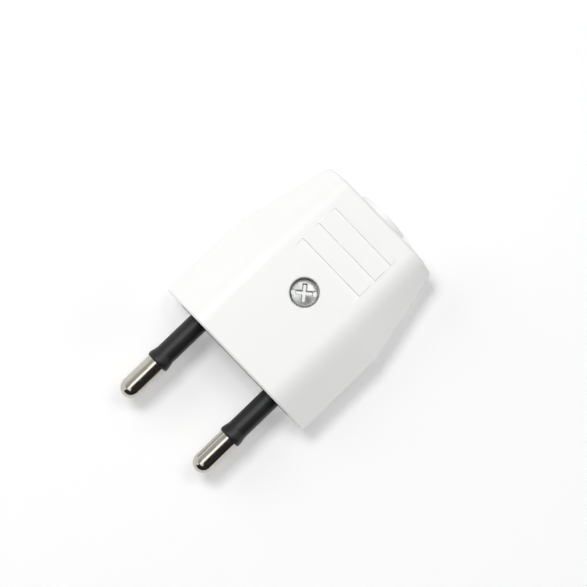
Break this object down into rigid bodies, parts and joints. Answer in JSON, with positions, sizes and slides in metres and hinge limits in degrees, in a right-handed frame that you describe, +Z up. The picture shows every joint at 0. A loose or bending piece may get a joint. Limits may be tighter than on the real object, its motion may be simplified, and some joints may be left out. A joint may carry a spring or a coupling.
{
  "type": "two-pin mains plug",
  "caption": "Flat white rewireable mains plug with bevelled sides, finger grip ribs, a closing screw, sleeved round pins and a cord inlet at the back.",
  "frame": {"origin": "middle of the front face, halfway between the pins and at half the thickness", "axes": "pins point along -Y, the cord leaves along +Y, +X is across the plug, +Z is up through the face with the closing screw"},
  "size_m": [0.0356, 0.057, 0.0138],
  "materials": {
    "white_plastic": "smooth white moulding with a soft sheen",
    "black_plastic": "satin black moulding",
    "nickel_brass": "nickel plated, polished",
    "zinc_steel": "bright zinc plated"
  },
  "bodies": {
    "root": {"upper_shell": "white_plastic", "lower_shell": "white_plastic", "cord_clamp": "white_plastic", "pin_plate": "black_plastic", "left_sleeve": "black_plastic", "right_sleeve": "black_plastic", "left_pin": "nickel_brass", "right_pin": "nickel_brass", "closing_screw": "zinc_steel", "closing_nut": "zinc_steel", "left_terminal_screw": "zinc_steel", "right_terminal_screw": "zinc_steel", "left_clamp_screw": "zinc_steel", "right_clamp_screw": "zinc_steel"}
  },
  "joints": []
}
